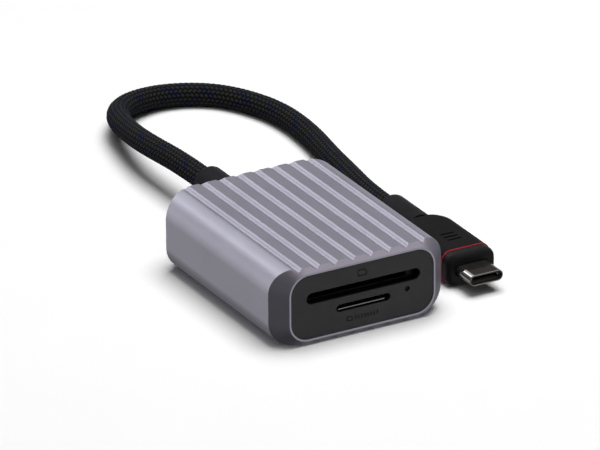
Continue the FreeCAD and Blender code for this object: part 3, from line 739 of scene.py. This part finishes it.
def make_band():
    """Thin band, flush with the plug, with its two edges slightly broken."""
    low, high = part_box("plug_band")
    flat = 0.06 * MM
    stations = []
    for y, inset in ((low.y, flat), (low.y + flat, 0.0), (high.y - flat, 0.0), (high.y, flat)):
        stations.append((y, PLUG_HALF_W - inset, PLUG_HALF_H - inset, PLUG_R - inset))
    mesh = loft("plug_red_band", stations, PLUG_X, PLUG_Z)
    sharpen(mesh, 50)
    return add_object("plug_red_band", mesh)


dress(make_band(), BAND_RED, replaces=["plug_band"])

SHELL_LOW, SHELL_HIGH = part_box("usb_c_shell")
SHELL_HALF_W, SHELL_HALF_H = (SHELL_HIGH.x - SHELL_LOW.x) / 2, (SHELL_HIGH.z - SHELL_LOW.z) / 2
SHELL_WALL = 0.25 * MM
SHELL_GAP = 0.03 * MM        # between the shell and the nose round it


def make_nose():
    """Front of the plug: rounded front edge, flat face, and a small bevel round the metal shell."""
    low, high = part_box("plug_nose")
    edge, step_in, face, bevel = 1.2 * MM, 0.12 * MM, 0.45 * MM, 0.16 * MM
    half_w, half_h = PLUG_HALF_W - step_in, PLUG_HALF_H - step_in
    stations = [(high.y, half_w, half_h, PLUG_R)]
    for k in range(9):
        t = math.pi / 2 * k / 8
        inset = edge * (1 - math.cos(t))
        stations.append((low.y + edge - edge * math.sin(t), half_w - inset, half_h - inset, PLUG_R - inset))
    for y, grow in ((low.y, face), (low.y, bevel), (low.y + bevel, 0.0), (high.y, 0.0)):
        half_h = SHELL_HALF_H + grow + SHELL_GAP
        stations.append((y, SHELL_HALF_W + grow + SHELL_GAP, half_h, half_h))
    mesh = loft("plug_nose_ring", stations, PLUG_X, PLUG_Z, closed=True)
    sharpen(mesh, 35)
    return add_object("plug_nose_ring", mesh)


def make_shell():
    """Drawn metal shell with a rolled mouth."""
    front, back = SHELL_LOW.y, SHELL_HIGH.y
    straight = front + 0.6 * MM
    roll = SHELL_WALL / 2
    profile = [(back, 0.0), (straight, 0.0)]
    for k in range(13):
        t = math.pi * k / 12
        profile.append((front + roll - roll * math.sin(t), -roll + roll * math.cos(t)))
    profile += [(straight, -SHELL_WALL), (back, -SHELL_WALL)]
    stations = [(y, SHELL_HALF_W + out, SHELL_HALF_H + out, SHELL_HALF_H + out) for y, out in profile]
    mesh = loft("usb_c_metal_shell", stations, PLUG_X, PLUG_Z, closed=True, detail=(14, 6))
    sharpen(mesh, 60)
    return add_object("usb_c_metal_shell", mesh)


nose = dress(make_nose(), NOSE_BLACK, replaces=["plug_nose"])
shell = dress(make_shell(), DARK_NICKEL, replaces=["usb_c_shell"])

# --- housing ------------------------------------------------------------------------------------
for node, name, bevel, material in (("housing_sleeve", "sleeve", 0.07 * MM, ANODISED),
                                    ("front_plate", "face", 0.05 * MM, PLATE),
                                    ("rear_plate", "back_plate", 0.05 * MM, PLATE)):
    piece = add_object(name, refined(node, bevel))
    weighted(piece)
    dress(piece, material, replaces=[node])


# --- eject springs ------------------------------------------------------------------------------
COIL_STEPS, WIRE_AROUND = 24, 10    # points in a turn, and round the wire
END_TURNS, END_RISE = 0.1, 0.07     # shares of the turns, and of the length, in each closed end


def make_spring(name, node, wire, turns):
    """Coil spring that fills its CAD node's length, with closed end turns."""
    low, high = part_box(node)
    x, z = (low.x + high.x) / 2, (low.z + high.z) / 2
    middle = (high.x - low.x) / 2 - wire
    t = np.linspace(0, 1, turns * COIL_STEPS + 1)
    angle = 2 * math.pi * turns * t
    rise = np.clip((t - END_TURNS) / (1 - 2 * END_TURNS), 0, 1) * (1 - 2 * END_RISE)
    rise += END_RISE * np.clip(t / END_TURNS, 0, 1)
    rise += END_RISE * np.clip((t - 1 + END_TURNS) / END_TURNS, 0, 1)
    y = low.y + wire + (high.y - low.y - 2 * wire) * rise
    line = np.stack([x + middle * np.cos(angle), y, z + middle * np.sin(angle)], axis=1)
    around = 2 * math.pi * np.arange(WIRE_AROUND) / WIRE_AROUND
    return add_object(name, skin(name, tube_rings(line, wire, around)))


# Piece, CAD node, joint, radius of the wire, turns.
SPRINGS = (("sd_spring_coil", "sd_eject_spring", "sd_eject", 0.11 * MM, 9),
           ("microsd_spring_coil", "microsd_eject_spring", "microsd_eject", 0.07 * MM, 10))
for name, node, joint, wire, turns in SPRINGS:
    spring = dress(make_spring(name, node, wire, turns), SPRING_STEEL, replaces=[node])
    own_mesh(spring)

# --- carried-over CAD nodes ---------------------------------------------------------------------
FINISHES = {
    "main_board": MASK_GREEN, "plug_board": MASK_GREEN,
    "controller_chip": CHIP_BLACK, "voltage_regulator": CHIP_BLACK, "chip_resistors": CHIP_BLACK,
    "crystal_oscillator": TINNED, "chip_capacitors": CERAMIC,
    "status_led": LENS, "light_pipe": LIGHT_GUIDE,
    "sd_socket_base": SOCKET_BLACK, "microsd_socket_base": SOCKET_BLACK,
    "sd_socket_cover": SHIELD_STEEL, "microsd_socket_cover": SHIELD_STEEL,
    "sd_contacts": GOLD, "microsd_contacts": GOLD, "usb_c_contacts": SPRING_STEEL,
    "sd_eject_slider": SLIDER_BLACK, "microsd_eject_slider": SLIDER_BLACK,
    "sd_latch_link": SPRING_STEEL, "microsd_latch_link": SPRING_STEEL,
    "cable_wires": WIRES, "cable_clamp": COPPER,
    "usb_c_insulator": LINER, "usb_c_side_latches": STAMPED,
}
for node, material in FINISHES.items():
    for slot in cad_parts[node].material_slots:
        slot.material = material


# --- floor and light ----------------------------------------------------------------------------
FLOOR_HALF = 12.0    # half a side, in metres
# Lamps: name, place, length of a side, power. Both look at the same point.
LAMP_TARGET = Vector((0.01, 0.03, 0))
LAMPS = (("overhead", (0.13, 0.06, 0.9), 0.62, 9.2),
         ("overhead_fill", (-0.6, -0.6, 2.4), 3.0, 20.0))


def make_floor():
    """Plain pale floor at z = 0."""
    h = FLOOR_HALF
    points = [(-h, -h, 0), (h, -h, 0), (h, h, 0), (-h, h, 0)]
    floor = add_object("floor", mesh_from_arrays("floor", points, [(0, 1, 2, 3)], smooth=False))
    n = Nodes("floor_white")
    n.set(Specular_IOR_Level=0.0)
    speck = n.noise(40, 2.0)
    n.finish(n.mix(speck, (0.86, 0.86, 0.86), (0.88, 0.88, 0.88)), n.remap(speck, 0.85, 0.95))
    floor.data.materials.append(n.material)
    floor.visible_glossy = False


def make_lamp(name, place, side, power):
    """Square area lamp that mirrors don't see."""
    data = bpy.data.lights.new(name, "AREA")
    data.size = side
    data.energy = power
    lamp = add_object(name, data)
    lamp.location = place
    lamp.rotation_mode = "QUATERNION"
    lamp.rotation_quaternion = (LAMP_TARGET - Vector(place)).to_track_quat("-Z", "Y")
    lamp.visible_glossy = False


# Softboxes of the surroundings: direction, angle of the bright core, angle where it ends, colour.
SOFTBOXES = [
    ((-0.49, 0.79, 0.35), 8, 34, (0.53, 0.53, 0.57)),
    ((0.06, 0.79, 0.61), 8, 27, (0.74, 0.74, 0.79)),
    ((-0.25, 0.79, 0.56), 3, 9, (3.3, 3.3, 3.45)),
    ((0.446, -0.412, 0.794), 10, 50, (0.64, 0.585, 0.615)),
    ((0.6, 0.6, 0.5), 10, 60, (0.36, 0.36, 0.385)),
    ((0.446, 0.794, 0.412), 20, 42, (0.17, 0.17, 0.18)),
    ((-0.62, 0.78, -0.10), 8, 34, (0.50, 0.50, 0.52)),
    ((-0.38, 0.79, -0.49), 10, 46, (0.20, 0.20, 0.20)),
    ((0.446, -0.794, -0.412), 10, 48, (0.55, 0.55, 0.57)),
    ((0.794, 0.446, -0.412), 10, 45, (0.13, 0.125, 0.13)),
    ((-0.794, -0.446, -0.412), 10, 45, (0.07, 0.07, 0.072)),
    ((0.446, 0.412, -0.794), 10, 40, (0.09, 0.09, 0.092)),
]
# A black card among them: direction, core and edge angles, share of the light that it takes away.
BLACK_CARD = ((0.446, 0.794, 0.412), 9, 15, 0.9)
AMBIENT_ABOVE, AMBIENT_BELOW = (0.11, 0.11, 0.115), (0.03, 0.03, 0.032)
HORIZON_LOW, HORIZON_HIGH = -0.2, 0.1    # between these heights one ambient turns into the other


def make_surroundings():
    """The studio as mirrors see it. It doesn't light matt surfaces."""
    world = bpy.data.worlds.new("studio")
    bpy.context.scene.world = world
    world.use_nodes = True
    world.cycles_visibility.diffuse = False
    sky = Tree(world.node_tree)
    direction = sky.add("ShaderNodeTexCoord").outputs["Generated"]

    def lobe(place, core, edge, outside=0.0, inside=1.0):
        along = sky.vector_math("DOT_PRODUCT", direction, tuple(Vector(place).normalized()))
        return sky.remap(along, outside, inside, math.cos(math.radians(edge)), math.cos(math.radians(core)),
                         "SMOOTHSTEP")

    horizon = sky.remap(sky.axes(direction)["Z"], 0.0, 1.0, HORIZON_LOW, HORIZON_HIGH)
    total = sky.mix(horizon, AMBIENT_BELOW, AMBIENT_ABOVE)
    for place, core, edge, colour in SOFTBOXES:
        total = sky.vector_math("ADD", sky.vector_math("SCALE", colour, lobe(place, core, edge)), total)
    place, core, edge, taken = BLACK_CARD
    total = sky.vector_math("SCALE", total, lobe(place, core, edge, 1.0, 1.0 - taken))
    sky.feed(sky.tree.nodes["Background"].inputs["Color"], total)


make_floor()
for lamp in LAMPS:
    make_lamp(*lamp)
make_surroundings()
bpy.context.scene.view_settings.view_transform = "Standard"
